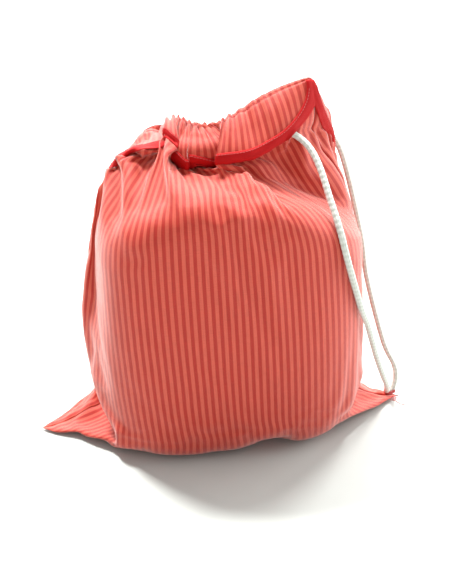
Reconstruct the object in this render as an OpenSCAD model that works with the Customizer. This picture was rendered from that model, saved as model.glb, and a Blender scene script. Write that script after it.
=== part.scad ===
// Drawstring stuff sack, filled and standing on a table.
// Two striped cotton panels are sewn together at the sides and along the bottom. The filled bag
// is boxy, so its two bottom corners lie flat as triangular ears. The top edge is folded over
// to the outside as a casing, whose lower edge is covered by a red tape, and a white cord in
// the casing gathers the mouth. Both ends of the cord are sewn to the right bottom corner.
// X runs from the left ear to the right ear, Y from front to back, and Z up from the table.

/* [Body] */
// Width of the filled body
body_w = 256; // [240:2:276]
// Depth of the filled body, front to back
body_d = 168; // [150:2:186]
// Height at which the walls turn in towards the mouth
shoulder_h = 215; // [200:1:225]
// Squareness of the body's outline, where 2 is an ellipse
squareness = 3.6; // [3:0.1:4.4]
// How much narrower the body is at the table than halfway up, as a fraction
foot_taper = 0.06; // [0:0.01:0.1]
// Thickness of the cotton panels
panel_t = 1.2; // [1:0.1:1.6]

/* [Ears] */
// Reach of each ear's tip from the middle of the bag
ear_tip = 190; // [182:1:200]
// Width of the blunt tip of each ear
ear_tip_w = 10; // [6:1:14]
// Distance from the middle to the root of the left ear
ear_root_left = 96; // [88:1:110]
// Distance from the middle to the root of the right ear
ear_root_right = 108; // [96:1:114]
// Thickness of an ear, where the cotton lies double
ear_t = 3; // [2.6:0.1:4]

/* [Mouth] */
// Height of the gathered neck
neck_h = 316; // [306:1:322]
// Place of the gathered neck along X
neck_x = -22; // [-30:1:-14]
// Depth of the mouth between the panels at the neck
neck_gap = 30; // [26:1:36]
// Depth of the mouth at its left end
wing_gap = 34; // [26:1:38]
// Depth of the mouth at the peak
peak_gap = 10; // [8:1:12]
// Height of the peak at the top of the right side seam
peak_h = 356; // [348:1:360]
// Place of the peak along X
peak_x = 80; // [76:1:86]
// Height of the mouth at the top of the left side seam
wing_h = 280; // [272:1:288]
// Place of the left end of the mouth along X
wing_x = -90; // [-94:1:-84]
// How far the left end of the mouth is pulled back
wing_back = 56; // [40:1:60]

/* [Casing] */
// Height of the folded casing
casing_h = 48; // [44:1:52]
// Thickness of the folded cloth
casing_t = 1; // [0.8:0.1:1.2]
// Height of the red tape
tape_h = 12; // [10:1:14]
// Thickness of the red tape
tape_t = 1; // [0.8:0.1:1.2]
// Diameter of the sewing thread rows
thread_d = 0.8; // [0.6:0.1:1]

/* [Cord] */
// Diameter of the cotton cord
cord_d = 6; // [5:0.5:6.5]

/* [Hidden] */

FRONT = -1;
BACK = 1;
COTTON = [0.85, 0.45, 0.4];
COTTON_DARK = [0.72, 0.3, 0.25];
TAPE = [0.78, 0.1, 0.12];
CORD = [0.93, 0.93, 0.88];
THREAD = [0.8, 0.2, 0.2];

// Gap between the two panels at the seams
seam_gap = 0.2;
// Columns across one panel, and rows up its wall and its crown
columns = 32;
wall_levels = [0, 24, 70, 120, 170, 215] * (shoulder_h / 215);
crown_rows = 12;
// Length of the crown from the shoulder to the mouth, measured on the cloth
crown_run = 150;
// Width and thickness of the seam allowance inside the bag
allowance_w = 10;
allowance_t = 1.6;
// Height of the cord's axis below the top fold, and the room for it inside the casing
tunnel_drop = 14;
tunnel_room = cord_d + 0.8;
// Share of the width, from the left, at which the casing's lower edge starts to rise
rise_start = 0.56;
// Least height of the casing, at the peak
casing_end_h = 2;

// Centre line of the drawcord, from the right ear's tip up the front strand, through the
// casing around the mouth, and down the back strand to the ear's tip
cord_route = [
    [180, 3, 4], [178, 0, 12], [174, -8, 24], [166, -17, 41], [151, -32, 76],
    [132, -51, 126], [118, -66, 157], [99, -77, 211],
    [92, -71, 238], [85, -55, 264], [79, -39, 287], [72, -27, 302], [61, -19, 312],
    [46, -14, 317], [16, -13, 313], [-15, -17, 305], [-35, -15, 304],
    [-51, -5, 304], [-66, 10, 299], [-79, 24, 284], [-89, 34, 273], [-96, 44, 269],
    [-97, 54, 269], [-91, 63, 272], [-81, 64, 281], [-66, 56, 299], [-50, 44, 304],
    [-15, 32, 305], [16, 26, 314], [56, 25, 322], [80, 29, 315],
    [102, 31, 300], [121, 34, 271], [147, 38, 184], [156, 33, 134],
    [176, 21, 62], [188, 12, 35], [190, 8, 21], [188, 6, 12], [186, 5, 4]
];

// Height of the whipping around the ends of the cord
whipping_h = 5;
// Start of the stitches that sew the cord's ends to the ear, their length and their pitch
tack_at = [182, -2];
tack_length = 8;
tack_pitch = 2;
// Centre line of the thread's loose end, over the edge of the ear and down to the table
tail_route = [[182, -11, 3.9], [184, -13, 4], [187, -15, 2.6], [190, -16, 0.9], [194, -17, 0.5]];

// ---- helper functions ----

function sign_pow(x, p) = sign(x) * pow(abs(x), p);
function lerp(a, b, f) = a + (b - a) * f;
function smooth(f) = f * f * (3 - 2 * f);
function clamp01(x) = min(max(x, 0), 1);
function unit(v) = v / norm(v);
// Angle around the outline for a share t of the width, from the left seam to the right one
function seam_angle(t) = 180 * (1 - t);
// Point of a rounded rectangle with half sizes hw and hd
function outline(t, hw, hd, power) = [
    hw * sign_pow(cos(seam_angle(t)), 2 / power),
    hd * pow(max(sin(seam_angle(t)), 0), 2 / power)
];

// ---- the bag's surface ----

// Share of the body's width that is left at height z
function waist(z) = 1 - foot_taper * pow(1 - z / 130, 2);

// Point of the wall at height z, moved inwards by inset
function wall_point(t, z, inset, side) =
    let (p = outline(t, body_w / 2 * waist(z) - inset, body_d / 2 * waist(z) - inset, squareness))
    [p.x, side * (p.y + seam_gap), z];

// Edge of the bottom, out to the tips of the ears
function foot_point(t, side) =
    let (
        a = seam_angle(t),
        left = a > 90,
        root = left ? ear_root_left : ear_root_right,
        away = (left ? 180 - a : a) / 90,
        f = min(away / 0.5, 1),
        g = max((away - 0.5) / 0.5, 0),
        x = lerp(lerp(ear_tip, root, f), 0, g),
        y = lerp(lerp(ear_tip_w / 2, body_d / 2 - 8, f), body_d / 2 - 2, g)
    )
    [left ? -x : x, side * (y + seam_gap), 0];

// Height of the mouth's edge: the wing on the left, the neck, then up to the peak
function mouth_height(x) =
    x < neck_x
        ? lerp(wing_h, neck_h, smooth(clamp01((x - wing_x) / (neck_x - 30 - wing_x))))
        : lerp(peak_h, neck_h, pow(clamp01((peak_x - x) / (peak_x - neck_x - 20)), 1.4));

// Line midway between the two panels at the mouth
function mouth_middle(x) =
    lerp(wing_back, 8, smooth(clamp01((x - wing_x) / (neck_x - wing_x))));

// Half the depth of the mouth, which closes towards the peak and the wing
function mouth_half_gap(x) =
    lerp(neck_gap, x < neck_x ? wing_gap : peak_gap, smooth(clamp01(abs(x - neck_x) / 55))) / 2;

// Point of the mouth's edge, moved inwards by inset
function mouth_point(t, inset, side) =
    let (
        half = (peak_x - wing_x) / 2,
        middle = (peak_x + wing_x) / 2,
        p = outline(t, half - inset, 1, 2.4),
        x = middle + p.x,
        y = mouth_middle(x) + side * (p.y * (mouth_half_gap(x) - inset) + seam_gap)
    )
    [x, y, mouth_height(x)];

// Point of the crown: v is 0 at the shoulder and 1 at the mouth
function crown_point(t, v, inset, side) =
    let (
        p0 = wall_point(t, shoulder_h, inset, side),
        p3 = mouth_point(t, inset, side),
        p1 = p0 + [0, 0, 38],
        p2 = p3 + [(p0.x - p3.x) * 0.3, (p0.y - p3.y) * 0.3, -46],
        w = 1 - v
    )
    w * w * w * p0 + 3 * w * w * v * p1 + 3 * w * v * v * p2 + v * v * v * p3;

// Closed profile of one panel at t: outside from the bottom seam to the mouth, inside back down
function panel_profile(t, side) =
    let (
        foot = foot_point(t, side),
        floor_in = wall_point(t, panel_t, panel_t, side)
    )
    concat(
        [[foot.x * 0.99, side * seam_gap, 0], foot, foot + [0, 0, ear_t]],
        [for (z = wall_levels) wall_point(t, max(z, ear_t), 0, side)],
        [for (i = [1 : crown_rows]) crown_point(t, i / crown_rows, 0, side)],
        [for (i = [crown_rows : -1 : 1]) crown_point(t, i / crown_rows, panel_t, side)],
        [for (i = [len(wall_levels) - 1 : -1 : 0])
            wall_point(t, max(wall_levels[i], panel_t), panel_t, side)],
        [[floor_in.x * 0.99, side * seam_gap, panel_t]]
    );

// ---- the casing and the tape ----

// Direction straight out of the bag at the mouth
function mouth_out(t, side) =
    let (a = seam_angle(t))
    unit([min(cos(a), 0), side * max(sin(a), 0.15), 0]);

// Point at a drop below the mouth's edge and a distance off the panel's outside
function skin_point(t, drop, off, side) =
    crown_point(t, 1 - max(drop, 0) / crown_run, 0, side)
    + [0, 0, max(-drop, 0)]
    + off * mouth_out(t, side);

// Depth of the casing, whose lower edge curves up to the peak at the right side seam
function casing_depth(t) =
    let (f = clamp01((t - rise_start) / (1 - rise_start)))
    casing_end_h + (casing_h - casing_end_h) * sqrt(1 - f * f);

// Room between the panel and the casing, which closes where the cord has left it
function tunnel(t) = lerp(tunnel_room, 0.8, smooth(clamp01((t - 0.76) / 0.14)));

// Closed profile of the folded cloth
function casing_profile(t, side) =
    let (
        d = casing_depth(t),
        k = d / casing_h,
        r = tunnel(t),
        c = casing_t,
        low = tunnel_drop * 2 + 4
    )
    [for (q = [
        [-panel_t, -c], [1.2, -c], [c + 0.6, 1], [r + c, tunnel_drop - 4],
        [r + c, tunnel_drop + 4], [c + 0.3, low], [c + 0.3, casing_h],
        [0.3, casing_h], [0.3, low - 0.6], [r, tunnel_drop + 3.6],
        [r, tunnel_drop - 3.6], [0.5, 1.4], [0.3, -0.05], [-panel_t, -0.05]
    ]) skin_point(t, q[1] > 0 ? q[1] * k : q[1], q[0], side)];

// Closed profile of the tape over the casing's lower edge
function binding_profile(t, side) =
    let (
        d = casing_depth(t) + 0.2,
        over = casing_t + 0.4,
        up = min(tape_h / 2, d - 1)
    )
    [for (q = [
        [over + tape_t, d - up], [over + tape_t, d], [over + tape_t, d + tape_h / 4],
        [0.3 + tape_t, d + tape_h / 2], [0.3, d + tape_h / 2], [0.3, d + 0.4],
        [over, d], [over, d - up]
    ]) skin_point(t, q[1], q[0], side)];

// Closed square profile of a row of stitches
function stitch_profile(t, drop, off, side) =
    let (h = thread_d / 2)
    [for (q = [[0, -h], [h * 2, -h], [h * 2, h], [0, h]])
        skin_point(t, drop + q[1], off + q[0], side)];

// ---- solids swept from profiles ----

// A solid through closed profiles that all have the same number of points. A profile goes down
// one face of the cloth and back up the other, so its ends are closed by strips between the two
// faces. The first `lead` points have no partner on the other face. The triangles lean towards
// the middle column, so that none of them is flat where a profile meets the seam.
module loft(profiles, lead = 0, flip = false) {
    n = len(profiles[0]);
    m = len(profiles);
    points = [for (p = profiles, q = p) q];
    walls = [for (i = [0 : m - 2], j = [0 : n - 1])
        let (a = i * n + j, b = i * n + (j + 1) % n, lean = (i < (m - 1) / 2) == (j < n / 2))
        each (lean ? [[a, b, b + n], [a, b + n, a + n]] : [[a, b, a + n], [b, b + n, a + n]])];
    fan = concat(
        [for (j = [1 : lead]) [0, j + 1, j]],
        [[0, n - 2, lead + 1], [0, n - 1, n - 2]]
    );
    strips = [for (j = [lead + 1 : (n + lead) / 2 - 2])
        let (a = j, b = j + 1, c = n - 2 - j + lead, e = n - 1 - j + lead)
        each [[a, e, c], [a, c, b]]];
    cap = concat(fan, strips);
    end = [for (f = cap) [f[2], f[1], f[0]] + [1, 1, 1] * (m - 1) * n];
    faces = concat(walls, cap, end);
    polyhedron(
        points = points,
        faces = flip ? [for (f = faces) [f[2], f[1], f[0]]] : faces
    );
}

// A solid across one side of the bag, from the profile of each column. The profiles of what
// is sewn to the mouth start at the mouth and go down, so their faces are turned round.
module across(profiles, side, lead = 0, downward = false) {
    loft(profiles, lead = lead, flip = (side == BACK) != downward);
}

function column(i) = i / columns;

module panel(side) {
    across([for (i = [0 : columns]) panel_profile(column(i), side)], side, lead = 2);
}

module casing(side) {
    across([for (i = [0 : columns]) casing_profile(column(i), side)], side, downward = true);
}

module binding(side) {
    across([for (i = [0 : columns]) binding_profile(column(i), side)], side, downward = true);
}

// The row that holds the fold, just below the mouth's edge
module fold_stitching(side) {
    last = round(columns * 0.9);
    across(
        [for (i = [0 : last]) stitch_profile(column(i), 4.5, casing_t + 2.6, side)],
        side, downward = true
    );
}

// The row that holds the tape
module binding_stitching(side) {
    last = columns - 3;
    across(
        [for (i = [0 : last])
            stitch_profile(column(i), casing_depth(column(i)) - 1, casing_t + tape_t + 0.5, side)],
        side, downward = true
    );
}

// ---- seams ----

// Inside of the side seam, from the floor to just under the casing
function seam_line(t) = concat(
    [for (z = [8, 40, 80, 120, 160, 200]) wall_point(t, z, panel_t + 0.3, BACK)],
    [for (v = [0, 0.15, 0.3, 0.45]) crown_point(t, v, panel_t + 0.3, BACK)]
);

module side_seam(t) {
    inward = t < 0.5 ? 1 : -1;
    loft(
        [for (p = seam_line(t))
            [for (q = [[0, -1], [1, -1], [1, 1], [0, 1]])
                [p.x + inward * q[0] * allowance_t, p.y - seam_gap + q[1] * allowance_w / 2, p.z]]],
        flip = inward > 0
    );
}

module bottom_seam_strip() {
    reach = body_w / 2 * waist(0) - 8;
    translate([-reach, -allowance_w / 2, panel_t + 0.2])
        cube([reach * 2, allowance_w, allowance_t]);
}

// ---- the cord ----

cord_sides = 8;
cord_steps = 2;

function catmull(a, b, c, d, f) =
    0.5 * (2 * b + (c - a) * f + (2 * a - 5 * b + 4 * c - d) * f * f
        + (3 * b - a - 3 * c + d) * f * f * f);

function route_point(points, i) = points[min(max(i, 0), len(points) - 1)];

function smooth_route(points, steps) = concat(
    [for (i = [0 : len(points) - 2], k = [0 : steps - 1])
        catmull(route_point(points, i - 1), points[i], points[i + 1],
            route_point(points, i + 2), k / steps)],
    [points[len(points) - 1]]
);

// Side directions that turn with the route and never twist
function frames(path, i = 0, side = [0, 1, 0]) =
    i >= len(path) ? []
    : let (
        ahead = unit(path[min(i + 1, len(path) - 1)] - path[max(i - 1, 0)]),
        s = unit(side - ahead * (side * ahead)),
        up = cross(ahead, s)
    )
    concat([[s, up]], frames(path, i + 1, s));

module tube(route, d, sides, steps) {
    path = smooth_route(route, steps);
    sweep = frames(path);
    n = sides;
    m = len(path);
    points = [for (i = [0 : m - 1], k = [0 : n - 1])
        path[i] + d / 2 * (cos(360 * k / n) * sweep[i][0] + sin(360 * k / n) * sweep[i][1])];
    walls = [for (i = [0 : m - 2], j = [0 : n - 1])
        let (a = i * n + j, b = i * n + (j + 1) % n)
        each [[a, b + n, b], [a, a + n, b + n]]];
    polyhedron(
        points = points,
        faces = concat(walls,
            [[for (k = [0 : n - 1]) k]],
            [[for (k = [n - 1 : -1 : 0]) (m - 1) * n + k]])
    );
}

// ---- the sewn corner ----

// A short round post around each end of the cord, longer by more at both ends
module whipping_posts(r, more) {
    for (end = [cord_route[0], cord_route[len(cord_route) - 1]])
        translate([end.x, end.y, ear_t + 0.3 - more])
            cylinder(h = whipping_h + 2 * more, r = r, $fn = 12);
}

module stitch_bar(length, width) {
    for (y = [0, -length])
        translate([0, y])
            circle(d = width, $fn = 12);
    translate([-width / 2, -length])
        square([width, length]);
}

// ---- sub-parts ----

module front_panel() {
    color(COTTON) panel(FRONT);
}

module back_panel() {
    color(COTTON) panel(BACK);
}

module left_side_seam() {
    color(COTTON_DARK) side_seam(0);
}

module right_side_seam() {
    color(COTTON_DARK) side_seam(1);
}

module bottom_seam() {
    color(COTTON_DARK) bottom_seam_strip();
}

module front_casing() {
    color(COTTON_DARK) casing(FRONT);
}

module back_casing() {
    color(COTTON_DARK) casing(BACK);
}

module front_binding() {
    color(TAPE) binding(FRONT);
}

module back_binding() {
    color(TAPE) binding(BACK);
}

module front_fold_stitching() {
    color(THREAD) fold_stitching(FRONT);
}

module back_fold_stitching() {
    color(THREAD) fold_stitching(BACK);
}

module front_binding_stitching() {
    color(THREAD) binding_stitching(FRONT);
}

module back_binding_stitching() {
    color(THREAD) binding_stitching(BACK);
}

module drawcord() {
    color(CORD) tube(cord_route, cord_d, cord_sides, cord_steps);
}

// Thread wound around both ends of the cord where they stand on the ear's tip
module cord_whipping() {
    color(THREAD) difference() {
        hull() whipping_posts(cord_d / 2 + 1.2, 0);
        whipping_posts(cord_d / 2 + 0.2, 1);
    }
}

// Stitches that hold the whipped ends to the ear
module corner_tack() {
    color(THREAD) for (x = [-1 : 1])
        translate([tack_at.x + x * tack_pitch, tack_at.y, ear_t + 0.05])
            linear_extrude(thread_d)
                stitch_bar(tack_length, thread_d);
}

// Loose end of the thread beyond the ear's edge
module thread_tail() {
    color(THREAD) tube(tail_route, thread_d, 8, 3);
}

front_panel();
back_panel();
left_side_seam();
right_side_seam();
bottom_seam();
front_casing();
back_casing();
front_binding();
back_binding();
front_fold_stitching();
back_fold_stitching();
front_binding_stitching();
back_binding_stitching();
drawcord();
cord_whipping();
corner_tack();
thread_tail();
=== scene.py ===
import math

import bpy
import numpy as np
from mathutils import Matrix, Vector


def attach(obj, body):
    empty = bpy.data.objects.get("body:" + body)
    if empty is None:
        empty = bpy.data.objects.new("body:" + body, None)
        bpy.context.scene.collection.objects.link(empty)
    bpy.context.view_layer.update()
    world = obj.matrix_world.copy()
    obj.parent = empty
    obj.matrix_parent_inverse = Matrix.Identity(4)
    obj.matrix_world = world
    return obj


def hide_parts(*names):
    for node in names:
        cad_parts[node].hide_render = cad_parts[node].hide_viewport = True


# A striped cotton drawstring sack, filled and standing. Its cloth is one tube, which is
# simulated over the filled shape from the bottom seam up to the crease under the casing. From
# the crease the casing rises to the top edge, with its swell and its gathers given by formula.
# The panels, the casing, the tape and the stitches are then laid on that one surface, by their
# flat coordinates: s runs around the bag from the left side seam over the front, and d runs
# down from the top edge. Everything is in metres.

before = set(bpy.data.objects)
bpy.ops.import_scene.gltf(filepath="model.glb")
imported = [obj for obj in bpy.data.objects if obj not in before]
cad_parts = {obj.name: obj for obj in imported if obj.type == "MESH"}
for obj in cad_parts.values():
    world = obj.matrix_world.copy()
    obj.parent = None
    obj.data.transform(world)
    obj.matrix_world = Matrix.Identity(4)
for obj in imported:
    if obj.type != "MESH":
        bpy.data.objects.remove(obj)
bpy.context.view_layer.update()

# Sizes of the flat pieces, before the bag is filled; RISE_CLOTH lies above the crease
WIDTH = 0.400
HEIGHT = 0.475
GIRTH = 2 * WIDTH
CASING = 0.048
RISE_CLOTH = 0.050
TAPE = 0.012
CORD_D = 0.006
# Width of one pair of stripes, thickness of the cloth as drawn, and one turn of the cord's braid
STRIPE = 0.0068
CLOTH = 0.0007
ALLOWANCE_CLOTH = 0.0012
BRAID_TURN = 0.0105

# Columns around the tube and rows up it; the top CASING_STEPS rows aren't simulated
COLUMNS = 160
ROWS = 95
CASING_STEPS = 10
HELD_ROW = ROWS - CASING_STEPS

# Centre line of the drawcord, as in the CAD model
ROUTE = [
    (0.180, 0.003, 0.004), (0.178, 0.000, 0.012), (0.174, -0.008, 0.024),
    (0.166, -0.017, 0.041), (0.151, -0.032, 0.076), (0.132, -0.051, 0.126),
    (0.118, -0.066, 0.157), (0.099, -0.077, 0.211), (0.092, -0.071, 0.238),
    (0.085, -0.055, 0.264), (0.079, -0.039, 0.287), (0.072, -0.027, 0.302),
    (0.061, -0.019, 0.312), (0.046, -0.014, 0.317), (0.016, -0.013, 0.313),
    (-0.015, -0.017, 0.305), (-0.035, -0.015, 0.304), (-0.051, -0.005, 0.304),
    (-0.066, 0.010, 0.299), (-0.079, 0.024, 0.284), (-0.089, 0.034, 0.273),
    (-0.096, 0.044, 0.269), (-0.097, 0.054, 0.269), (-0.091, 0.063, 0.272),
    (-0.081, 0.064, 0.281), (-0.066, 0.056, 0.299), (-0.050, 0.044, 0.304),
    (-0.015, 0.032, 0.305), (0.016, 0.026, 0.314), (0.056, 0.025, 0.322),
    (0.080, 0.029, 0.315), (0.102, 0.031, 0.300), (0.121, 0.034, 0.271),
    (0.147, 0.038, 0.184), (0.156, 0.033, 0.134), (0.176, 0.021, 0.062),
    (0.188, 0.012, 0.035), (0.190, 0.008, 0.021), (0.188, 0.006, 0.012),
    (0.186, 0.005, 0.004),
]

# The crease under the casing, where the cloth is drawn together in pleats: s, then x, y, z
CREASE = [
    (0.000, -0.117, 0.033, 0.246), (0.032, -0.110, 0.021, 0.270), (0.055, -0.100, 0.011, 0.289),
    (0.075, -0.086, 0.002, 0.300), (0.092, -0.069, -0.006, 0.303), (0.105, -0.056, -0.009, 0.305),
    (0.125, -0.058, -0.001, 0.314), (0.143, -0.045, -0.012, 0.304),
    (0.160, -0.051, -0.005, 0.294), (0.183, -0.038, -0.022, 0.283),
    (0.192, -0.038, -0.014, 0.288), (0.217, -0.014, -0.016, 0.282),
    (0.252, 0.018, -0.020, 0.286),
    (0.289, -0.017, -0.031, 0.294), (0.325, 0.018, -0.035, 0.297), (0.345, 0.036, -0.028, 0.305),
    (0.372, 0.058, -0.018, 0.312), (0.390, 0.070, -0.008, 0.314), (0.400, 0.079, -0.003, 0.313),
    (0.413, 0.091, 0.004, 0.311), (0.430, 0.101, 0.014, 0.307), (0.470, 0.111, 0.025, 0.270),
    (0.495, 0.102, 0.045, 0.268), (0.535, 0.064, 0.052, 0.281), (0.580, 0.022, 0.049, 0.285),
    (0.630, -0.021, 0.048, 0.285), (0.680, -0.054, 0.056, 0.279), (0.720, -0.078, 0.064, 0.264),
    (0.760, -0.100, 0.060, 0.250), (0.790, -0.114, 0.043, 0.245), (0.800, -0.117, 0.033, 0.246),
]

# The top edge of the mouth: s, then x, y, z and the depth of the small gathers there
MOUTH = [
    (0.000, -0.088, 0.052, 0.276, 0.0012), (0.032, -0.087, 0.059, 0.276, 0.0012),
    (0.055, -0.080, 0.056, 0.281, 0.0012), (0.075, -0.071, 0.050, 0.289, 0.0016),
    (0.100, -0.060, 0.040, 0.301, 0.0022), (0.125, -0.052, 0.031, 0.316, 0.0026),
    (0.143, -0.045, 0.025, 0.322, 0.0032), (0.165, -0.038, 0.016, 0.323, 0.0036),
    (0.200, -0.029, 0.008, 0.320, 0.0036), (0.230, -0.021, 0.004, 0.318, 0.0036),
    (0.260, -0.013, 0.001, 0.320, 0.0036), (0.289, -0.004, 0.000, 0.325, 0.0036),
    (0.315, 0.008, 0.000, 0.331, 0.0030), (0.345, 0.028, 0.002, 0.343, 0.0016),
    (0.372, 0.050, 0.004, 0.352, 0.0003), (0.400, 0.078, 0.005, 0.360, 0.0000),
    (0.413, 0.079, 0.008, 0.353, 0.0000), (0.430, 0.080, 0.012, 0.343, 0.0000),
    (0.470, 0.084, 0.027, 0.307, 0.0004), (0.495, 0.072, 0.033, 0.303, 0.0016),
    (0.535, 0.042, 0.023, 0.312, 0.0026), (0.580, 0.010, 0.012, 0.316, 0.0030),
    (0.630, -0.016, 0.010, 0.316, 0.0030), (0.680, -0.041, 0.023, 0.315, 0.0028),
    (0.720, -0.060, 0.045, 0.300, 0.0022), (0.760, -0.076, 0.057, 0.283, 0.0014),
    (0.790, -0.085, 0.056, 0.277, 0.0012), (0.800, -0.088, 0.052, 0.276, 0.0012),
]


def direction(azimuth, elevation):
    """The direction from the object to a viewer; azimuth 0 is the front."""
    a, e = math.radians(azimuth), math.radians(elevation)
    return Vector((math.sin(a) * math.cos(e), -math.cos(a) * math.cos(e), math.sin(e)))


def show(obj):
    bpy.context.scene.collection.objects.link(obj)
    return obj


def aim(obj, target):
    obj.rotation_mode = "QUATERNION"
    obj.rotation_quaternion = (Vector(target) - obj.location).to_track_quat("-Z", "Y")


# ---- camera ----

camera_data = bpy.data.cameras.new("camera")
camera_data.sensor_width = 36
camera_data.lens = 55.4
camera = show(bpy.data.objects.new("camera", camera_data))
LOOK_AT = Vector((-0.001, 0, 0.147))
camera.location = LOOK_AT + direction(-9, 28) * 0.9
aim(camera, LOOK_AT)
bpy.context.scene.camera = camera


# ---- helpers ----

def unit(v):
    v = np.asarray(v, float)
    return v / np.maximum(np.linalg.norm(v, axis=-1, keepdims=True), 1e-12)


def spline(points, spacing):
    """Points at an even spacing along a Catmull-Rom curve."""
    p = np.array(points, float)
    q = np.vstack([p[:1], p, p[-1:]])
    f = np.linspace(0, 1, 25)[:-1, None]
    parts = []
    for a, b, c, d in zip(q[:-3], q[1:-2], q[2:-1], q[3:]):
        parts.append(0.5 * (2 * b + (c - a) * f + (2 * a - 5 * b + 4 * c - d) * f ** 2
                            + (3 * b - a - 3 * c + d) * f ** 3))
    dense = np.vstack(parts + [p[-1:]])
    along = distances(dense)
    even = np.linspace(0, along[-1], max(2, round(along[-1] / spacing) + 1))
    return np.stack([np.interp(even, along, dense[:, k]) for k in range(3)], 1), even


def sweep_frames(path, first=(0, 1, 0)):
    """Two side directions at each point of a path, which turn with it and never twist."""
    ahead = unit(np.gradient(path, axis=0))
    side = np.array(first, float)
    sides = []
    for a in ahead:
        side = side - a * (side @ a)
        side = side / np.linalg.norm(side)
        sides.append(side)
    sides = np.array(sides)
    return sides, np.cross(ahead, sides)


def mesh_object(name, points, faces, uv=None, smooth=True):
    mesh = bpy.data.meshes.new(name)
    mesh.from_pydata([tuple(map(float, p)) for p in points], [], faces)
    mesh.update()
    if uv is not None:
        layer = mesh.uv_layers.new(name="UVMap")
        corner = np.zeros(len(mesh.loops), np.int32)
        mesh.loops.foreach_get("vertex_index", corner)
        layer.data.foreach_set("uv", np.asarray(uv, np.float32)[corner].ravel())
    mesh.polygons.foreach_set("use_smooth", [smooth] * len(mesh.polygons))
    return show(bpy.data.objects.new(name, mesh))


def distances(line):
    """The distance of each point of a line from its start, measured along the line."""
    return np.concatenate([[0], np.cumsum(np.linalg.norm(np.diff(line, axis=0), axis=1))])


def ring_faces(rings, sides):
    """Faces of a closed tube of rings that have the same number of sides."""
    faces = []
    for i in range(rings - 1):
        for j in range(sides):
            a, b = i * sides + j, i * sides + (j + 1) % sides
            faces.append((a, b, b + sides, a + sides))
    faces.append(tuple(range(sides))[::-1])
    faces.append(tuple((rings - 1) * sides + j for j in range(sides)))
    return faces


def tube(path, radius, sides, first=(0, 1, 0)):
    """Points and faces of a round tube along a path. radius may be given for each point."""
    side, up = sweep_frames(path, first)
    angle = np.arange(sides) * 2 * math.pi / sides
    r = np.broadcast_to(radius, (len(path), sides))
    points = (path[:, None, :]
              + r[..., None] * (np.cos(angle)[None, :, None] * side[:, None, :]
                                + np.sin(angle)[None, :, None] * up[:, None, :]))
    return points.reshape(-1, 3), ring_faces(len(path), sides)


def joined(name, parts):
    """One mesh object from several."""
    points, faces = [], []
    for p, f in parts:
        base = len(points)
        points.extend(map(tuple, p))
        faces.extend(tuple(base + k for k in face) for face in f)
    return mesh_object(name, points, faces)


def grid_faces(rows, columns):
    return [(j * columns + i, j * columns + i + 1, (j + 1) * columns + i + 1, (j + 1) * columns + i)
            for j in range(rows - 1) for i in range(columns - 1)]


def grid_object(name, points, uv, thickness, offset=-1.0):
    """A cloth piece from an array of points by rows and columns."""
    rows, columns = points.shape[:2]
    obj = mesh_object(name, points.reshape(-1, 3), grid_faces(rows, columns), uv.reshape(-1, 2))
    m = obj.modifiers.new("thickness", "SOLIDIFY")
    m.thickness = thickness
    m.offset = offset
    m.use_even_offset = False
    return obj


def stands_for(obj, node):
    """Puts a piece in the place of a CAD node."""
    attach(obj, "root")
    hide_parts(node)


# ---- the drawcord ----

def braided_cord(path, along):
    """The cord, with the crossing strands of its braid in relief."""
    sides = 20
    angle = np.arange(sides)[None, :] * 2 * math.pi / sides
    turn = 2 * math.pi * along[:, None] / BRAID_TURN
    relief = 0.985 + 0.05 * np.cos(4 * angle + turn) * np.cos(4 * angle - turn)
    points, faces = tube(path, CORD_D / 2 * relief, sides)
    uv = np.stack(np.broadcast_arrays(along[:, None], angle / (2 * math.pi)), -1)
    return mesh_object("drawcord_braid", points, faces, uv.reshape(-1, 2))


cord_path, cord_along = spline(ROUTE, 0.00105)
drawcord = braided_cord(cord_path, distances(cord_path))
stands_for(drawcord, "drawcord")


def thread(points):
    """Points and faces of a sewing thread through some points."""
    path, _ = spline(points, 0.0008)
    return tube(path, 0.0004, 8, (0.3, 0.2, 1))


def whipping_turns():
    """Turns of thread around both ends of the cord, where they stand on the ear."""
    turns = 6
    pitch = 0.0007
    low = 0.0040
    a, b = np.array(ROUTE[0][:2]), np.array(ROUTE[-1][:2])
    along = unit(b - a)
    across = np.array([-along[1], along[0]])
    r = CORD_D / 2 + 0.0006
    ring = []
    for centre, first in ((b, -90), (a, 90)):
        for k in range(7):
            t = math.radians(first + 30 * k)
            ring.append(centre + r * (math.cos(t) * along + math.sin(t) * across))
    return [(p[0], p[1], low + pitch * (turn + k / len(ring)))
            for turn in range(turns) for k, p in enumerate(ring)]


whipping = joined("cord_whipping_turns", [thread(whipping_turns())])
tack = joined("corner_tack_stitches", [
    thread([(x, y0, 0.0030), (x + 0.0003, (y0 + y1) / 2, 0.0040), (x, y1, 0.0028)])
    for x, y0, y1 in ((0.1800, -0.0016, -0.0100), (0.1820, -0.0020, -0.0104),
                      (0.1840, -0.0016, -0.0100), (0.1860, -0.0022, -0.0098))])
tail = joined("thread_tail_end", [thread([
    (0.1815, -0.0100, 0.0036), (0.184, -0.013, 0.0040), (0.187, -0.015, 0.0026),
    (0.190, -0.016, 0.0010), (0.194, -0.017, 0.0006)])])
for piece, node in ((whipping, "cord_whipping"), (tack, "corner_tack"), (tail, "thread_tail")):
    stands_for(piece, node)


# ---- the cloth ----

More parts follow.
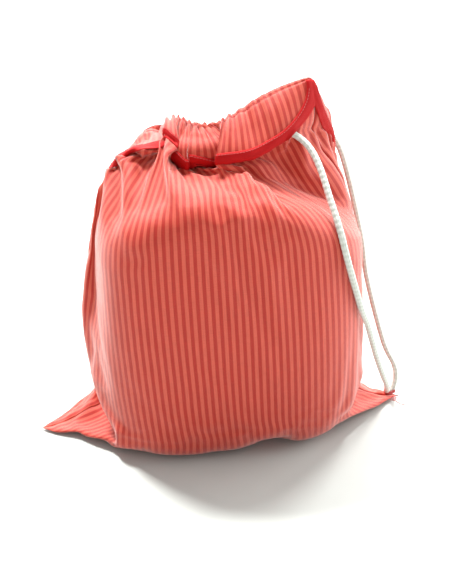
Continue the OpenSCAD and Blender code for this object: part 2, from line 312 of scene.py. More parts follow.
def start_point(u, side, v):
    """A box-shaped start: the bottom lies flat, then the walls stand up."""
    half = 0.120
    drop = WIDTH / 2 - half
    q = abs(u) - half
    sx = 1 if u >= 0 else -1
    lift = 0.004
    if v <= drop:
        if q <= 0:
            return u, side * v, 0.001
        if q + v <= drop:
            return sx * (half + q), side * v, 0.001
        z = 0.001 + lift * min(1, (q + v - drop) / 0.01)
        return sx * (half + drop - v), side * (drop - q), z
    z = v - drop + 0.001 + lift
    if q <= 0:
        return u, side * drop, z
    return sx * half, side * (drop - q), z


# Length of cloth that small creases take up between the bottom and the crease, by s
TAKEN_UP = [
    (0.000, 0.085), (0.032, 0.080), (0.055, 0.040), (0.085, 0.006), (0.345, 0.004),
    (0.372, 0.018), (0.400, 0.028), (0.430, 0.045), (0.470, 0.070), (0.500, 0.060),
    (0.550, 0.045), (0.640, 0.045), (0.700, 0.055), (0.750, 0.075), (0.800, 0.082),
]


def along_table(table, s):
    """The values of a table at s, which runs around the bag."""
    c = np.array(table)
    s = np.asarray(s, float) % GIRTH
    return np.stack([np.interp(s, c[:, 0], c[:, k]) for k in range(1, c.shape[1])], -1)


def between(s, start, end, fade):
    """1 between start and end, falling to 0 over fade inside both."""
    return np.clip((s - start) / fade, 0, 1) * np.clip((end - s) / fade, 0, 1)


column_s = np.arange(COLUMNS) * GIRTH / COLUMNS
top_edge = along_table(MOUTH, column_s)[:, :3]
crease = along_table(CREASE, column_s)
# The level direction from the mouth to the crease, smoothed around the bag with the top edge
toward = crease - top_edge
toward[:, 2] = 0
toward = unit(toward)
for _ in range(12):
    toward = unit(np.roll(toward, 1, 0) + 2 * toward + np.roll(toward, -1, 0))
    top_edge = 0.05 * (np.roll(top_edge, 1, 0) + np.roll(top_edge, -1, 0)) + 0.9 * top_edge
# The crease is smooth under the flap at the peak, and wavy along the back
on_flap = between(column_s, 0.300, 0.490, 0.02)
for _ in range(10):
    crease = crease + (0.25 * on_flap[:, None]) * (np.roll(crease, 1, 0) + np.roll(crease, -1, 0)
                                                   - 2 * crease)
FOLD_DEPTH = 0.004
FOLD_PITCH = 0.030
back_folds = FOLD_DEPTH * between(column_s, 0.54, 0.79, 0.03)
crease = crease + toward * (back_folds * np.sin(2 * math.pi * column_s / FOLD_PITCH))[:, None]
# The way that each column of the casing faces
rise_line = unit(top_edge - crease)
lean = unit(np.cross(np.cross((0, 0, 1.0), toward), rise_line))
for _ in range(6):
    lean = unit(np.roll(lean, 1, 0) + 2 * lean + np.roll(lean, -1, 0))


def outward(s):
    """The way that the casing faces at s, square to its rise and without the gathers."""
    x = (np.asarray(s, float) % GIRTH) / GIRTH * COLUMNS
    i = np.floor(x).astype(int) % COLUMNS
    f = (x - np.floor(x))[..., None]
    return unit(lean[i] * (1 - f) + lean[(i + 1) % COLUMNS] * f)


def filled_shape():
    """What the bag is filled with: a boxy mound that the cloth settles on."""
    around = 72
    hw, hd, power = 0.1255, 0.0830, 3.6
    ridge_x = (-0.128, -0.090, -0.045, 0.0, 0.060, 0.125)
    ridge_z = (0.234, 0.255, 0.276, 0.273, 0.258, 0.228)
    points, rings = [], []

    def outline(a, f):
        c, n = math.cos(a), math.sin(a)
        return (f * hw * math.copysign(abs(c) ** (2 / power), c),
                f * hd * math.copysign(abs(n) ** (2 / power), n))

    def waist(z):
        return 1 - 0.05 * (1 - z / 0.13) ** 2

    def add(fn):
        rings.append(range(len(points), len(points) + around))
        for k in range(around):
            points.append(fn(2 * math.pi * k / around))

    def base(a, phi):
        r = 0.014 + 0.034 * math.cos(a) ** 2
        f = 1 - r / (hw * abs(math.cos(a)) + hd * abs(math.sin(a))) * (1 - math.sin(phi))
        z = 0.004 + r * (1 - math.cos(phi))
        x, y = outline(a, f * waist(z))
        return x, y, z

    def top(a, rho):
        r = 0.022 + 0.006 * math.sin(a) ** 2
        flat = 0.8 - 0.05 * math.sin(a) ** 2
        x, y = outline(a, rho * waist(0.2))
        t = max(0, (rho - flat) / (1 - flat))
        return x, y, float(np.interp(x, ridge_x, ridge_z)) - r * (1 - math.sqrt(max(0, 1 - t * t)))

    def wall(a, f):
        low = base(a, math.pi / 2)[2]
        z = low + (top(a, 1.0)[2] - low) * f
        x, y = outline(a, waist(z))
        y += math.copysign(0.003 * math.sin(math.pi * f) * abs(math.sin(a)), y)
        return x, y, z

    add(lambda a: (base(a, 0)[0] * 0.7, base(a, 0)[1] * 0.7, 0.004))
    for phi in (0, 30, 60, 90):
        add(lambda a: base(a, math.radians(phi)))
    for f in (0.15, 0.35, 0.55, 0.75, 0.9):
        add(lambda a: wall(a, f))
    for rho in (1, 0.985, 0.95, 0.9, 0.83, 0.75, 0.65, 0.5, 0.3, 0.1):
        add(lambda a: top(a, rho))
    faces = [(a[k], a[(k + 1) % around], b[(k + 1) % around], b[k])
             for a, b in zip(rings, rings[1:]) for k in range(around)]
    faces.append(tuple(rings[0])[::-1])
    faces.append(tuple(rings[-1]))
    return mesh_object("filled_shape", points, faces)


def simulate():
    """The settled tube: an array of rows by columns, from the bottom seam to the crease.

    The tube starts as a box, each column shortened by what the creases take up. From frame 3 to
    45 its top row is drawn to the crease, and it settles until frame 70.
    """
    index, points, faces = {}, [], []
    taken = along_table(TAKEN_UP, column_s)[:, 0] / (HEIGHT - RISE_CLOTH)
    step_s, step_v = GIRTH / COLUMNS, HEIGHT / ROWS

    def vertex(j, i):
        i %= COLUMNS
        if j == 0 and i > COLUMNS // 2:
            i = COLUMNS - i
        if (j, i) not in index:
            front = i <= COLUMNS // 2
            u = -WIDTH / 2 + i * step_s if front else WIDTH / 2 - (i - COLUMNS // 2) * step_s
            index[j, i] = len(points)
            side = -1 if front else 1
            points.append(start_point(u, side, j * step_v * (1 - taken[i])))
        return index[j, i]

    for j in range(HELD_ROW):
        for i in range(COLUMNS):
            loop = [vertex(j, i), vertex(j, i + 1), vertex(j + 1, i + 1), vertex(j + 1, i)]
            faces.append(tuple(dict.fromkeys(loop)))
    order = np.array([[vertex(j, i) for i in range(COLUMNS)] for j in range(HELD_ROW + 1)])
    bag = mesh_object("cloth_tube", points, faces)
    bag.shape_key_add(name="Basis")
    key = bag.shape_key_add(name="drawn")
    goal = np.array(points, float)
    goal[order[HELD_ROW]] = crease
    for k in set(order[0]):
        goal[k] = (goal[k][0] * (0.96 if goal[k][0] > 0 else 1.0) + 0.001, 0.0, 0.0012)
    key.data.foreach_set("co", goal.astype(np.float32).ravel())
    key.value = 0
    key.keyframe_insert("value", frame=3)
    key.value = 1
    key.keyframe_insert("value", frame=45)

    held = bag.vertex_groups.new(name="held")
    held.add([int(k) for k in set(order[0]) | set(order[HELD_ROW])], 1.0, "REPLACE")
    edge = bag.vertex_groups.new(name="edge")
    edge.add([int(k) for k in order[HELD_ROW - 2:].ravel()], 1.0, "REPLACE")
    band = bag.vertex_groups.new(name="band")
    band.add([int(k) for k in order[HELD_ROW - 4:].ravel()], 1.0, "REPLACE")

    filling = filled_shape()
    table = mesh_object("table", [(-1, -1, 0), (1, -1, 0), (1, 1, 0), (-1, 1, 0)], [(0, 1, 2, 3)])
    for obj, gap, grip in ((filling, 0.0015, 8), (table, 0.001, 30)):
        obj.modifiers.new("collision", "COLLISION")
        obj.collision.thickness_outer = gap
        obj.collision.thickness_inner = 0.01
        obj.collision.cloth_friction = grip
        obj.collision.damping = 0.5
    modifier = bag.modifiers.new("cloth", "CLOTH")
    cloth = modifier.settings
    cloth.quality = 6
    cloth.mass = 0.02
    cloth.tension_stiffness = 40
    cloth.compression_stiffness = 40
    cloth.shear_stiffness = 15
    cloth.bending_model = "ANGULAR"
    cloth.bending_stiffness = 0.12
    cloth.bending_stiffness_max = 1.0
    cloth.vertex_group_bending = "band"
    cloth.tension_damping = 5
    cloth.compression_damping = 5
    cloth.shear_damping = 5
    cloth.bending_damping = 0.5
    cloth.air_damping = 2.0
    cloth.vertex_group_mass = "held"
    cloth.pin_stiffness = 1
    touch = modifier.collision_settings
    touch.collision_quality = 2
    touch.distance_min = 0.0015
    touch.use_self_collision = True
    touch.self_distance_min = 0.0015
    touch.self_friction = 5
    touch.vertex_group_self_collisions = "edge"
    last = 70
    modifier.point_cache.frame_start = 1
    modifier.point_cache.frame_end = last
    scene = bpy.context.scene
    scene.frame_start = 1
    scene.frame_end = last
    for frame_number in range(1, last + 1):
        scene.frame_set(frame_number)
    done = bag.evaluated_get(bpy.context.evaluated_depsgraph_get())
    settled = np.zeros(len(points) * 3, np.float32)
    done.data.vertices.foreach_get("co", settled)
    settled = settled.reshape(-1, 3).astype(float)[order]
    for obj in (bag, filling, table):
        mesh = obj.data
        bpy.data.objects.remove(obj)
        bpy.data.meshes.remove(mesh)
    scene.frame_set(1)
    return settled


def calm(p, rounds, free):
    """Smooths the cloth where free is 1, and keeps it where free is 0."""
    for _ in range(rounds):
        near = 0.25 * (np.roll(p, 1, 1) + np.roll(p, -1, 1))
        near[1:-1] += 0.25 * (p[2:] + p[:-2])
        near[0] = p[0]
        near[-1] = p[-1]
        p = p + 0.5 * free[..., None] * (near - p)
    return p


def finer(p):
    """Twice as many rows and columns, on a smooth curve through the old ones."""
    q = np.concatenate([p[:, -2:], p, p[:, :3]], 1)
    mid = (-q[:, :-3] + 9 * q[:, 1:-2] + 9 * q[:, 2:-1] - q[:, 3:]) / 16
    n = p.shape[1]
    out = np.empty((p.shape[0], 2 * n, 3))
    out[:, 0::2] = p
    out[:, 1::2] = mid[:, 1:n + 1]
    q = np.concatenate([2 * out[:1] - out[1:2], out, 2 * out[-1:] - out[-2:-1]], 0)
    mid = (-q[:-3] + 9 * q[1:-2] + 9 * q[2:-1] - q[3:]) / 16
    full = np.empty((2 * p.shape[0] - 1, 2 * n, 3))
    full[0::2] = out
    full[1::2] = mid
    return full


settled = simulate()
# Small shakes of the cloth are smoothed out, except near the bottom seam and the crease
rows_up = np.arange(HELD_ROW + 1)[:, None] * HEIGHT / ROWS
free = np.clip((HEIGHT - CASING - TAPE - rows_up) / 0.030, 0, 1) * np.clip(rows_up / 0.010, 0, 1)
free = np.broadcast_to(free, settled.shape[:2]).copy()
settled = calm(settled, 3, free)

# The casing rises from the crease to the top edge, and swells out where its cloth is longer
gap = np.linalg.norm(top_edge - settled[-1], axis=-1)
swell = np.clip(np.sqrt(0.375 * gap * np.clip(RISE_CLOTH - gap, 0, 1)), 0.001, 0.006)
for _ in range(4):
    swell = 0.25 * np.roll(swell, 1) + 0.5 * swell + 0.25 * np.roll(swell, -1)
above = []
for k in range(1, CASING_STEPS + 1):
    f = k / CASING_STEPS
    above.append(settled[-1] * (1 - f) + top_edge * f
                 + lean * (swell * math.sin(math.pi * f ** 0.8))[:, None])
fine = finer(np.concatenate([settled, np.array(above)], 0))
FINE_ROWS, FINE_COLUMNS = fine.shape[:2]
STEP = HEIGHT / (FINE_ROWS - 1)
fine_s = np.arange(FINE_COLUMNS) * GIRTH / FINE_COLUMNS
height_in_casing = np.clip((np.arange(FINE_ROWS) * STEP - HEIGHT + RISE_CLOTH) / RISE_CLOTH, 0, 1)
# Gathers of the top edge, of uneven width, which fade out towards the crease
GATHER_PITCH = 0.0150
GATHER_DRIFT = 0.071
gather_depth = along_table(MOUTH, fine_s)[:, 3]
drift = 0.9 * np.sin(2 * math.pi * fine_s / GATHER_DRIFT)
gathers = gather_depth * np.sin(2 * math.pi * fine_s / GATHER_PITCH + drift)
fine = fine + (height_in_casing[:, None, None] ** 1.3 * gathers[None, :, None]
               * outward(fine_s)[None])


def normals(p):
    """The outward normal at each point of the grid, smoothed around the bag."""
    across = np.roll(p, -1, 1) - np.roll(p, 1, 1)
    up = np.gradient(p, axis=0)
    n = unit(np.cross(across, up))
    for _ in range(2):
        n = unit(n + 0.5 * (np.roll(n, 1, 1) + np.roll(n, -1, 1)))
    return n


# Where the gathers are deep, what lies on the casing is lifted the way that the casing faces
fine_normals = normals(fine)
plain = np.clip(gather_depth / 0.002, 0, 1)[None, :, None]
plain = 0.75 * plain * np.clip(height_in_casing / 0.2, 0, 1)[:, None, None]
fine_normals = unit(fine_normals * (1 - plain) + outward(fine_s)[None] * plain)


def sample(field, s, d):
    """A value of the fine grid at flat coordinates s and d."""
    x = (np.asarray(s, float) % GIRTH) / GIRTH * FINE_COLUMNS
    y = np.clip((HEIGHT - np.asarray(d, float)) / STEP, 0, FINE_ROWS - 1.000001)
    i, j = np.floor(x).astype(int) % FINE_COLUMNS, np.floor(y).astype(int)
    fx, fy = (x - np.floor(x))[..., None], (y - j)[..., None]
    k = (i + 1) % FINE_COLUMNS
    return ((field[j, i] * (1 - fx) + field[j, k] * fx) * (1 - fy)
            + (field[j + 1, i] * (1 - fx) + field[j + 1, k] * fx) * fy)


# Distance that the panel keeps from the cord's middle on the cord's inner side, and the casing
# on its outer side
PANEL_FROM_CORD = CORD_D / 2 + 0.0008
CASING_FROM_CORD = CORD_D / 2 + 0.0011
# The part of the cord that lies in the casing, between two points of its route
inside_from = np.argmin(np.linalg.norm(cord_path - ROUTE[11], axis=1))
inside_to = np.argmin(np.linalg.norm(cord_path - ROUTE[29], axis=1))
cord_near = cord_path[inside_from:inside_to:3]
cord_ahead = unit(np.gradient(cord_near, axis=0))


def clear_of_cord(p, out, room, side):
    """Moves points along out, or against it for side -1, until the cord has room.

    The cloth beside the cord follows in a smooth bulge, and cloth far from the cord stays.
    """
    furthest = 0.016
    bulge = 2.6
    flat = p.reshape(-1, 3)
    push = out.reshape(-1, 3)
    moved = flat.copy()
    for start in range(0, len(flat), 4000):
        q = flat[start:start + 4000]
        n = push[start:start + 4000]
        offsets = q[:, None, :] - cord_near[None]
        k = np.argmin((offsets ** 2).sum(-1), 1)
        w = offsets[np.arange(len(q)), k]
        ahead = cord_ahead[k]
        w = w - ahead * (w * ahead).sum(-1, keepdims=True)
        n = unit(n - ahead * (n * ahead).sum(-1, keepdims=True))
        reach = (w * n).sum(-1)
        beside = np.linalg.norm(w - n * reach[:, None], axis=-1)
        need = room * np.cos(0.5 * math.pi * np.clip(beside / (room * bulge), 0, 1))
        lack = np.clip(need - side * reach, 0, furthest)
        near = np.clip((0.022 - np.linalg.norm(w, axis=-1)) / 0.008, 0, 1)
        moved[start:start + 4000] = q + side * n * (lack * near)[:, None]
    return moved.reshape(p.shape)


def uv_of(s, d):
    """Texture coordinates in metres, with the stripes along the second one."""
    s, d = np.broadcast_arrays(s, d)
    return np.stack([s, HEIGHT - d], -1)


# ---- panels ----

def panel(name, node, side):
    first = 0 if side < 0 else FINE_COLUMNS // 2
    columns = (first + np.arange(FINE_COLUMNS // 2 + 1)) % FINE_COLUMNS
    p = fine[:, columns].copy()
    n = fine_normals[:, columns]
    s = (first + np.arange(FINE_COLUMNS // 2 + 1)) * GIRTH / FINE_COLUMNS
    d = HEIGHT - np.arange(FINE_ROWS)[:, None] * STEP
    # The seam draws both edges in a little
    from_seam = np.minimum(s - s[0], s[-1] - s)[None, :]
    p -= n * (0.0012 * np.exp(-(from_seam / 0.0028) ** 2))[..., None]
    out = np.broadcast_to(outward(s)[None], p.shape)
    in_casing = (d <= CASING)[:, 0]
    p[in_casing] = clear_of_cord(p[in_casing], out[in_casing], PANEL_FROM_CORD, -1)
    obj = grid_object(name, p, uv_of(s[None, :], d), CLOTH)
    stands_for(obj, node)
    return obj


front_panel = panel("front_panel_cloth", "front_panel", -1)
back_panel = panel("back_panel_cloth", "back_panel", 1)


# ---- casing ----

# Distance from the right side seam at which the casing's lower edge starts to rise
RISE_FRONT = 0.052
RISE_BACK = 0.030
# Depth of the casing that is left at that seam, under the peak
PEAK_DEPTH = 0.002
# Distance of the upper row of stitches from the top edge
UPPER_ROW = 0.0045
# Lift of the fold's top over the cloth inside it
FOLD_LIFT = 0.0012


def casing_depth(s):
    """Depth of the casing, whose lower edge curves up to the peak at the right side seam."""
    away = np.asarray(s, float) % GIRTH - WIDTH
    rise = np.where(away < 0, RISE_FRONT, RISE_BACK)
    f = np.clip(1 - np.abs(away) / rise, 0, 1)
    return PEAK_DEPTH + (CASING - PEAK_DEPTH) * np.sqrt(1 - f * f)


# Distance down from the top edge, and how far the casing stands off the panel there: over the
# fold, the groove of the stitches, the cord's tunnel, and down to the lower edge. Negative
# distances lie inside the mouth, where the fold ends.
CASING_ROWS = [
    (-0.0030, -0.0012), (-0.0012, -0.0004), (0.0002, 0.0003), (0.0014, 0.0014), (0.0032, 0.0018),
    (UPPER_ROW, 0.0012), (0.0058, 0.0020), (0.0080, 0.0024), (0.0105, 0.0024), (0.0130, 0.0024),
    (0.0160, 0.0024), (0.0190, 0.0022), (0.0220, 0.0019), (0.0260, 0.0015), (0.0300, 0.0013),
    (0.0340, 0.0012), (0.0380, 0.0012), (0.0420, 0.0011), (0.0450, 0.0010), (0.0480, 0.0009),
]


def casing_skin(s, d, lift):
    """A point of the casing's outside, or of the panel below the casing."""
    s, d = np.broadcast_arrays(np.asarray(s, float), np.asarray(d, float))
    depth = casing_depth(s)
    offs = np.interp(d * CASING / np.maximum(depth, 0.004), [q[0] for q in CASING_ROWS],
                     [q[1] for q in CASING_ROWS])
    below = np.clip((d - depth) / 0.0012, 0, 1)
    offs = offs * (1 - below) + 0.0002 * below
    p = sample(fine, s, d) + sample(fine_normals, s, d) * offs[..., None]
    out = outward(s)
    return clear_of_cord(p, out, CASING_FROM_CORD, 1) + out * lift


def casing(name, node, side):
    first = 0 if side < 0 else WIDTH
    s = first + np.linspace(0, WIDTH, FINE_COLUMNS + 1)
    depth = casing_depth(s)
    p, drops = [], []
    for q, off in CASING_ROWS:
        if q > 0:
            d = q * depth / CASING
            row = casing_skin(s, d, 0.0)
        else:
            # Inside the mouth the fold ends a little below the panel's top edge
            d = np.zeros_like(s)
            row = sample(fine, s, np.full_like(s, -0.6 * q)) + outward(s) * off
            if q > -0.002:
                row = row + (0, 0, FOLD_LIFT)
        p.append(row)
        drops.append(d)
    p, drops = np.array(p[::-1]), np.array(drops[::-1])
    # The folded cloth's stripes don't meet the panel's exactly
    stripe_shift = 0.0026
    obj = grid_object(name, p, uv_of(s[None, :] + stripe_shift, drops), CLOTH)
    stands_for(obj, node)
    return obj


front_casing = casing("front_casing_fold", "front_casing", -1)
back_casing = casing("back_casing_fold", "back_casing", 1)


# ---- tape ----

TAPE_STEP = 0.002


def tape_line(side):
    """The casing's lower edge in flat coordinates, at an even spacing, and the way down from it."""
    rise = RISE_FRONT if side < 0 else RISE_BACK
    steps = 59
    turn = np.linspace(0, math.pi / 2, steps + 1)
    straight = np.linspace(0, WIDTH - rise, steps + 1)[:-1]
    s = np.concatenate([straight, WIDTH - rise + rise * np.sin(turn)])
    depth = np.concatenate([np.full(steps, CASING),
                            PEAK_DEPTH + (CASING - PEAK_DEPTH) * np.cos(turn)])
    line = np.stack([s, depth], 1)
    along = distances(line)
    even = np.arange(0, along[-1], TAPE_STEP)
    line = np.stack([np.interp(even, along, line[:, k]) for k in (0, 1)], 1)
    ahead = unit(np.gradient(line, axis=0))
    down = np.stack([-ahead[:, 1], ahead[:, 0]], 1)
    if side > 0:
        line[:, 0] = GIRTH - line[:, 0]
        down[:, 0] = -down[:, 0]
    return line, down


# Distance across the tape from the casing's lower edge, and how far it stands off the cloth
TAPE_ROWS = [(-0.0062, 0.0002), (-0.0058, 0.0010), (-0.0030, 0.0012), (0.0000, 0.0012),
             (0.0020, 0.0011), (0.0040, 0.0010), (0.0058, 0.0009), (0.0062, 0.0002)]


def on_tape(line, down, w, lift):
    """A row of points along the tape, at w across it."""
    s = line[:, 0] + down[:, 0] * w
    d = np.maximum(line[:, 1] + down[:, 1] * w, -0.001)
    return casing_skin(s, d, 0.0) + sample(fine_normals, s, np.maximum(d, 0)) * lift


def tape(name, node, side):
    line, down = tape_line(side)
    p = np.array([on_tape(line, down, w, lift) for w, lift in TAPE_ROWS])
    for _ in range(2):
        p[:, 1:-1] = 0.5 * p[:, 1:-1] + 0.25 * (p[:, 2:] + p[:, :-2])
    if side < 0:
        p = p[::-1]
    along = np.arange(len(line)) * TAPE_STEP
    w = np.array([q[0] for q in TAPE_ROWS])[::-1 if side < 0 else 1]
    uv = np.stack(np.broadcast_arrays(along[None, :], w[:, None]), -1)
    obj = grid_object(name, p, uv, CLOTH)
    stands_for(obj, node)
    return obj


front_tape = tape("front_tape", "front_binding", -1)
back_tape = tape("back_tape", "back_binding", 1)


# ---- stitches ----

STITCH = 0.0021
STITCH_PITCH = 0.0028
STITCH_RADIUS = 0.00034
# Rings of one stitch: share of its length, of its radius, and its rise off the cloth in radii
STITCH_RINGS = [(0, 0.35, -0.5), (0.2, 0.9, 0.15), (0.5, 1.0, 0.4), (0.8, 0.9, 0.15),
                (1, 0.35, -0.5)]


def stitch(a, b, out):
    """One stitch: a short rounded bar from a to b that sits on the cloth."""
    ahead = unit(b - a)
    out = unit(out - ahead * (out @ ahead))
    side = np.cross(ahead, out)
    sides = 6
    points = []
    for f, k, rise in STITCH_RINGS:
        centre = a + (b - a) * f + out * STITCH_RADIUS * rise
        for t in np.arange(sides) * math.pi / 3:
            points.append(centre + STITCH_RADIUS * k * (math.cos(t) * side + math.sin(t) * out))
    return np.array(points), ring_faces(len(STITCH_RINGS), sides)


def stitches(name, node, line, outs):
    """A row of stitches along a line of points, with a gap between each two."""
    along = distances(line)
    parts = []
    at = 0.0006
    while at + STITCH + 0.0001 < along[-1]:
        a = np.array([np.interp(at, along, line[:, k]) for k in range(3)])
        b = np.array([np.interp(at + STITCH, along, line[:, k]) for k in range(3)])
        n = np.array([np.interp(at + 0.001, along, outs[:, k]) for k in range(3)])
        # In a tight fold the two ends may meet, and that stitch is left out
        if np.linalg.norm(b - a) > 0.0006:
            parts.append(stitch(a, b, n))
        at += STITCH_PITCH
    obj = joined(name, parts)
    stands_for(obj, node)
    return obj


def fold_row(side):
    """The row of stitches just below the top fold."""
    start, end = 0.002, 0.365
    s = np.linspace(start, end, 400)
    if side > 0:
        s = GIRTH - s
    return casing_skin(s, np.full_like(s, UPPER_ROW), 0.0003), outward(s)


def tape_row(side):
    """The row of stitches near the tape's upper edge."""
    line, down = tape_line(side)
    keep = slice(1, len(line) - 3)
    up_from_middle = 0.0042
    s = line[:, 0] - down[:, 0] * up_from_middle
    d = line[:, 1] - down[:, 1] * up_from_middle
    p = casing_skin(s, d, 0.0) + sample(fine_normals, s, d) * 0.0013
    return p[keep], sample(fine_normals, s, d)[keep]


front_fold_row = stitches("front_fold_stitches", "front_fold_stitching", *fold_row(-1))
back_fold_row = stitches("back_fold_stitches", "back_fold_stitching", *fold_row(1))
front_tape_row = stitches("front_tape_stitches", "front_binding_stitching", *tape_row(-1))
back_tape_row = stitches("back_tape_stitches", "back_binding_stitching", *tape_row(1))


# ---- seam allowances inside ----

# Width of an allowance, whose raw edges ripple, and the lengths of the side and bottom seams
ALLOWANCE = 0.010
SIDE_SEAM = 0.275
BOTTOM_SEAM = 0.216
ACROSS_ALLOWANCE = np.linspace(-ALLOWANCE / 2, ALLOWANCE / 2, 7)


def side_seam(name, node, s0):
    w = ACROSS_ALLOWANCE
    upper_end = 0.110
    d = np.linspace(upper_end, upper_end + SIDE_SEAM, 90)[::-1]
    s, dd = np.meshgrid(s0 + w, d)
    p = sample(fine, s, dd) - sample(fine_normals, s, dd) * 0.0022
    ripple = 0.0003 * np.sin(2 * math.pi * dd / 0.013) * (w[None, :] / (ALLOWANCE / 2)) ** 2
    p = p - sample(fine_normals, s, dd) * ripple[..., None]
    obj = grid_object(name, p, uv_of(s, dd), ALLOWANCE_CLOTH)
    stands_for(obj, node)
    return obj


left_seam = side_seam("left_side_seam_allowance", "left_side_seam", 0.0)
right_seam = side_seam("right_side_seam_allowance", "right_side_seam", WIDTH)


def bottom_seam():
    along = np.linspace(-BOTTOM_SEAM / 2, BOTTOM_SEAM / 2, 110)
    xx, yy = np.meshgrid(along, ACROSS_ALLOWANCE)
    z = 0.0022 + 0.0002 * np.sin(2 * math.pi * xx / 0.017) * (yy / (ALLOWANCE / 2)) ** 2
    p = np.stack([xx, yy, z], -1)
    obj = grid_object("bottom_seam_allowance", p, np.stack([xx, yy], -1), ALLOWANCE_CLOTH, 1.0)
    stands_for(obj, "bottom_seam")
    return obj


bottom_strip = bottom_seam()


# ---- materials ----

class Nodes:
    """Short calls for building a material from nodes."""

    def __init__(self, name):
        self.material = bpy.data.materials.new(name)
        self.material.use_nodes = True
        self.tree = self.material.node_tree
        self.shader = self.tree.nodes["Principled BSDF"]

    def add(self, kind, links=None, **values):
        node = self.tree.nodes.new(kind)
        for key, value in values.items():
            setattr(node, key, value)
        for socket, source in (links or {}).items():
            if isinstance(source, bpy.types.NodeSocket):
                self.tree.links.new(source, node.inputs[socket])
            else:
                node.inputs[socket].default_value = source
        return node

    def math(self, operation, a, b=0.0, c=0.0):
        return self.add("ShaderNodeMath", {0: a, 1: b, 2: c}, operation=operation).outputs[0]

    def mix(self, factor, a, b):
        node = self.add("ShaderNodeMix", {0: factor, 6: a, 7: b}, data_type="RGBA")
        return node.outputs[2]

    def uv(self):
        source = self.add("ShaderNodeUVMap", uv_map="UVMap")
        parts = self.add("ShaderNodeSeparateXYZ", {0: source.outputs[0]})
        return source.outputs[0], parts.outputs[0], parts.outputs[1]

    def noise(self, u, v, scale_u, scale_v, detail):
        """Noise that is stretched along one of the two texture directions."""
        place = self.add("ShaderNodeCombineXYZ", {0: self.math("MULTIPLY", u, scale_u),
                                                  1: self.math("MULTIPLY", v, scale_v)})
        return self.add("ShaderNodeTexNoise", {"Vector": place.outputs[0], "Scale": 1.0,
                                               "Detail": detail}).outputs[0]

    def spread(self, value, low, high, from_low=0.3, from_high=0.7):
        """A value's range from_low to from_high laid over low to high."""
        return self.add("ShaderNodeMapRange", {0: value, 1: from_low, 2: from_high, 3: low,
                                               4: high}).outputs[0]

    def shaded(self, colour, tone):
        """A colour made lighter or darker by a number near 1."""
        shade = self.add("ShaderNodeCombineColor", {0: tone, 1: tone, 2: tone}).outputs[0]
        return self.add("ShaderNodeMix", {0: 1.0, 6: colour, 7: shade}, data_type="RGBA",
                        blend_type="MULTIPLY").outputs[2]

    def bump(self, strength, distance, height):
        node = self.add("ShaderNodeBump", {"Strength": strength, "Distance": distance,
                                           "Height": height})
        self.to_shader("Normal", node.outputs[0])

    def to_shader(self, socket, source):
        if isinstance(source, bpy.types.NodeSocket):
            self.tree.links.new(source, self.shader.inputs[socket])
        else:
            self.shader.inputs[socket].default_value = source


def weave_height(n, u, v, pitch):
    """Over and under threads of a plain weave."""
    a = n.math("SINE", n.math("MULTIPLY", u, 2 * math.pi / pitch))
    b = n.math("SINE", n.math("MULTIPLY", v, 2 * math.pi / pitch))
    return n.math("MULTIPLY", a, b)


def cotton(name, light, dark, sheen):
    """Woven cotton with stripes along v, whose edges and yarns are a little uneven."""
    n = Nodes(name)
    _, u, v = n.uv()
    streak = n.noise(u, v, 2600.0, 60.0, 3.0)
    weft = n.noise(u, v, 120.0, 2200.0, 2.0)
    wobble = n.math("MULTIPLY", n.math("SUBTRACT", streak, 0.5), 0.05)
    phase = n.math("FRACT", n.math("ADD", n.math("MULTIPLY", u, 1 / STRIPE), wobble))
    tri = n.math("ABSOLUTE", n.math("SUBTRACT", phase, 0.5))
    edge = n.add("ShaderNodeMapRange", {0: tri, 1: 0.225, 2: 0.275, 3: 0.0, 4: 1.0},
                 interpolation_type="SMOOTHSTEP").outputs[0]
    yarn = n.math("ADD", n.math("MULTIPLY", streak, 0.6), n.math("MULTIPLY", weft, 0.4))
    n.to_shader("Base Color", n.shaded(n.mix(edge, light, dark), n.spread(yarn, 0.80, 1.18)))
    n.to_shader("Roughness", n.spread(yarn, 0.60, 0.46))
    n.to_shader("Sheen Weight", sheen)
    n.to_shader("Sheen Roughness", 0.42)
    n.to_shader("Sheen Tint", (1.0, 0.87, 0.83, 1))
    n.to_shader("Specular IOR Level", 0.35)
    height = n.math("ADD", weave_height(n, u, v, 0.0009), n.math("MULTIPLY", streak, 0.8))
    n.bump(0.35, 0.00025, height)
    return n.material


def tape_cloth():
    """Bias tape, whose threads run aslant."""
    n = Nodes("red_tape")
    thread_pitch = 0.0008
    uv, u, v = n.uv()
    weave = weave_height(n, n.math("ADD", u, v), n.math("SUBTRACT", u, v), thread_pitch)
    noise = n.add("ShaderNodeTexNoise", {"Vector": uv, "Scale": 900.0, "Detail": 3.0}).outputs[0]
    soft = n.add("ShaderNodeTexNoise", {"Vector": uv, "Scale": 60.0, "Detail": 2.0}).outputs[0]
    tone = n.math("ADD", n.math("MULTIPLY", noise, 0.5), n.math("MULTIPLY", soft, 0.5))
    # The edges of the folded tape are worn a little lighter
    worn = n.spread(n.math("ABSOLUTE", v), 0.0, 0.35, 0.0052, 0.0062)
    colour = n.mix(tone, (0.29, 0.0012, 0.0018, 1), (0.48, 0.003, 0.004, 1))
    n.to_shader("Base Color", n.mix(worn, colour, (0.52, 0.014, 0.012, 1)))
    n.to_shader("Roughness", n.spread(tone, 0.7, 0.55))
    n.to_shader("Sheen Weight", 0.03)
    n.to_shader("Sheen Roughness", 0.4)
    n.to_shader("Specular IOR Level", 0.15)
    n.bump(0.3, 0.0002, n.math("ADD", weave, n.math("MULTIPLY", noise, 0.6)))
    return n.material


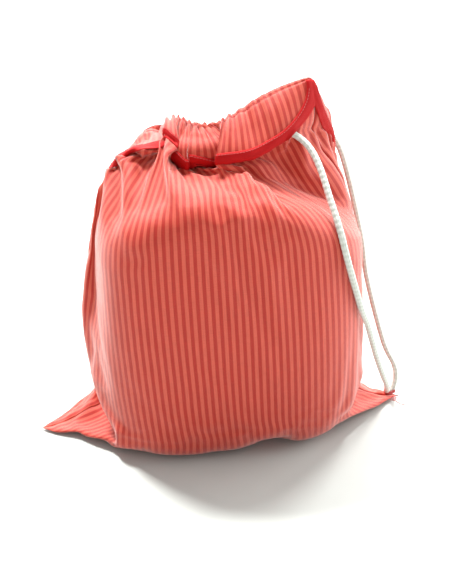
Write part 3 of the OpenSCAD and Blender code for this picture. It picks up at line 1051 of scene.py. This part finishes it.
def cord_cotton():
    """Undyed cotton with the cord's braid, with painted shade that darkens the grooves between its
    strands.
    """
    n = Nodes("white_cord")
    _, u, v = n.uv()
    turn = n.math("MULTIPLY", u, 2 * math.pi / BRAID_TURN)
    round_it = n.math("MULTIPLY", v, 8 * math.pi)
    a = n.math("COSINE", n.math("ADD", round_it, turn))
    b = n.math("COSINE", n.math("SUBTRACT", round_it, turn))
    plait = n.math("MULTIPLY", a, b)
    fibre = n.noise(u, v, 700.0, 40.0, 3.0)
    # Painted shade: the cord's colour goes darker in the grooves between the braid's strands
    strand_top_vs_groove_shade = n.spread(plait, 0.0, 1.0, -0.9, 0.5)
    colour = n.mix(strand_top_vs_groove_shade, (0.47, 0.50, 0.44, 1), (0.62, 0.64, 0.59, 1))
    n.to_shader("Base Color", n.shaded(colour, n.spread(fibre, 0.88, 1.08)))
    n.to_shader("Roughness", n.spread(fibre, 0.9, 0.75))
    n.to_shader("Sheen Weight", 0.4)
    n.to_shader("Sheen Roughness", 0.5)
    n.to_shader("Specular IOR Level", 0.2)
    n.bump(0.5, 0.0004, n.math("ADD", plait, n.math("MULTIPLY", fibre, 0.7)))
    return n.material


def thread_cotton():
    """Twisted sewing thread."""
    n = Nodes("red_thread")
    place = n.add("ShaderNodeTexCoord").outputs["Object"]
    noise = n.add("ShaderNodeTexNoise", {"Vector": place, "Scale": 1400.0,
                                         "Detail": 2.0}).outputs[0]
    wave = n.add("ShaderNodeTexWave", {"Vector": place, "Scale": 700.0, "Distortion": 2.0})
    n.to_shader("Base Color", n.mix(noise, (0.30, 0.012, 0.012, 1), (0.50, 0.05, 0.045, 1)))
    n.to_shader("Roughness", n.spread(noise, 0.7, 0.5, 0.0, 1.0))
    n.to_shader("Sheen Weight", 0.3)
    n.to_shader("Sheen Roughness", 0.4)
    n.bump(0.4, 0.0002, wave.outputs[1])
    return n.material


def paint(obj, material):
    obj.data.materials.clear()
    obj.data.materials.append(material)


outside = cotton("striped_cotton", (0.545, 0.072, 0.040, 1), (0.385, 0.010, 0.001, 1), 0.55)
inside = cotton("cotton_wrong_side", (0.50, 0.16, 0.12, 1), (0.36, 0.06, 0.04, 1), 0.1)
red = tape_cloth()
white = cord_cotton()
sewing = thread_cotton()
for obj in (front_panel, back_panel, front_casing, back_casing):
    paint(obj, outside)
for obj in (left_seam, right_seam, bottom_strip):
    paint(obj, inside)
for obj in (front_tape, back_tape):
    paint(obj, red)
for obj in (front_fold_row, back_fold_row, front_tape_row, back_tape_row, whipping, tack, tail):
    paint(obj, sewing)
paint(drawcord, white)


# ---- floor and light ----

def floor_material():
    n = Nodes("pale_floor")
    place = n.add("ShaderNodeTexCoord").outputs["Object"]
    noise = n.add("ShaderNodeTexNoise", {"Vector": place, "Scale": 30.0}).outputs[0]
    n.to_shader("Base Color", n.mix(noise, (0.45, 0.475, 0.45, 1), (0.48, 0.505, 0.48, 1)))
    n.to_shader("Roughness", 0.6)
    n.to_shader("Specular IOR Level", 0.2)
    return n.material


floor = mesh_object("floor", [(-9, -9, -0.0008), (9, -9, -0.0008), (9, 12, -0.0008),
                              (-9, 12, -0.0008)], [(0, 1, 2, 3)], smooth=False)
paint(floor, floor_material())


def light(name, kind, place, energy, target):
    data = bpy.data.lights.new(name, kind)
    data.energy = energy
    obj = show(bpy.data.objects.new(name, data))
    obj.location = place
    aim(obj, target)
    return data


def soft_sun(name, place, energy, size):
    """Light from one side whose source is as wide as a window, in degrees."""
    light(name, "SUN", place, energy, (0, 0, 0)).angle = math.radians(size)


def panel_light(name, place, size, watts):
    data = light(name, "AREA", place, watts, (0, 0, 0.15))
    data.shape = "RECTANGLE"
    data.size, data.size_y = size


soft_sun("window_left", (-0.42, 0.62, 1.6), 6.2, 9)
soft_sun("window_right", (0.55, 0.60, 1.5), 3.0, 12)
panel_light("window_behind", (0.0, 2.6, 1.7), (4.0, 2.6), 150)
panel_light("fill", (2.2, 0.3, 0.9), (1.6, 1.5), 60)

world = bpy.data.worlds.new("studio")
bpy.context.scene.world = world
world.use_nodes = True
background = world.node_tree.nodes["Background"]
background.inputs["Color"].default_value = (1.0, 1.0, 1.0, 1)
background.inputs["Strength"].default_value = 0.80
bpy.context.scene.view_settings.view_transform = "Standard"

bpy.context.view_layer.update()
